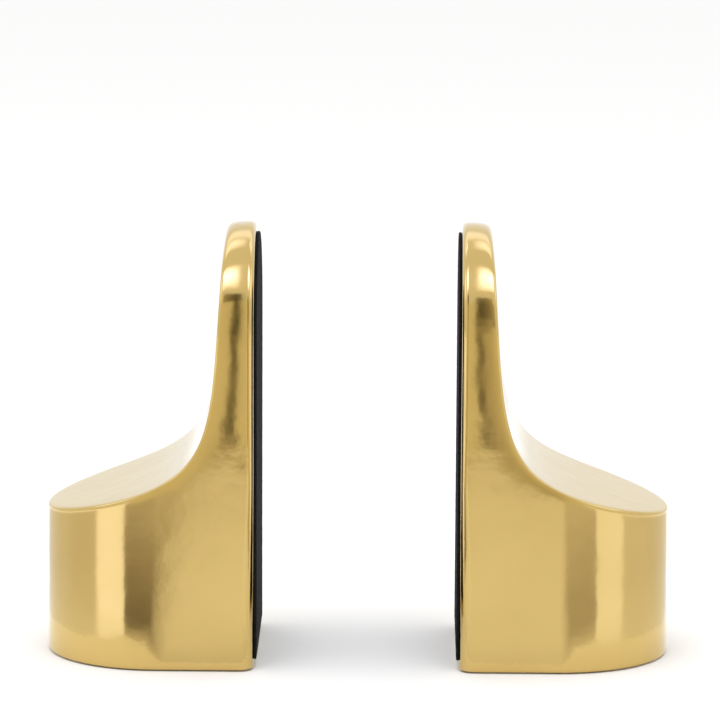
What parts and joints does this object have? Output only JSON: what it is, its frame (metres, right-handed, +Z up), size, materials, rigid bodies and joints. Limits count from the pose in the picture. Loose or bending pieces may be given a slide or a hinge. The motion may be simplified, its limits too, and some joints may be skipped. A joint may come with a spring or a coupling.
{
  "type": "pair of weighted bookends",
  "caption": "Pair of weighted bookends: D-shaped foot with a concave swoop up to a round-topped upright, felt-lined book face and felt base.",
  "frame": {"origin": "on the shelf surface, midway between the two bookends and midway between their front and back sides", "axes": "+X from the left bookend to the right bookend, +Y from the front side to the back side, +Z up"},
  "size_m": [0.2434, 0.078, 0.17],
  "materials": {
    "plated_casting": "satin-polished brass plating over cast aluminium",
    "black_felt": "pressed wool felt, glued",
    "cast_iron_ballast": "as-cast grey iron",
    "zinc_steel": "zinc-plated steel"
  },
  "bodies": {
    "left_bookend": {"left_cast_body": "plated_casting", "left_face_felt": "black_felt", "left_ballast_weight": "cast_iron_ballast", "left_ballast_bolt": "zinc_steel", "left_ballast_washer": "zinc_steel", "left_base_plate": "zinc_steel", "left_base_screws": "zinc_steel", "left_base_felt": "black_felt"},
    "right_bookend": {"right_cast_body": "plated_casting", "right_face_felt": "black_felt", "right_ballast_weight": "cast_iron_ballast", "right_ballast_bolt": "zinc_steel", "right_ballast_washer": "zinc_steel", "right_base_plate": "zinc_steel", "right_base_screws": "zinc_steel", "right_base_felt": "black_felt"}
  },
  "joints": [
    {"name": "bookend_slide", "type": "slide", "parent": "left_bookend", "child": "right_bookend", "axis": [1, 0, 0], "range_m": [-0.0765, 0.3]}
  ]
}
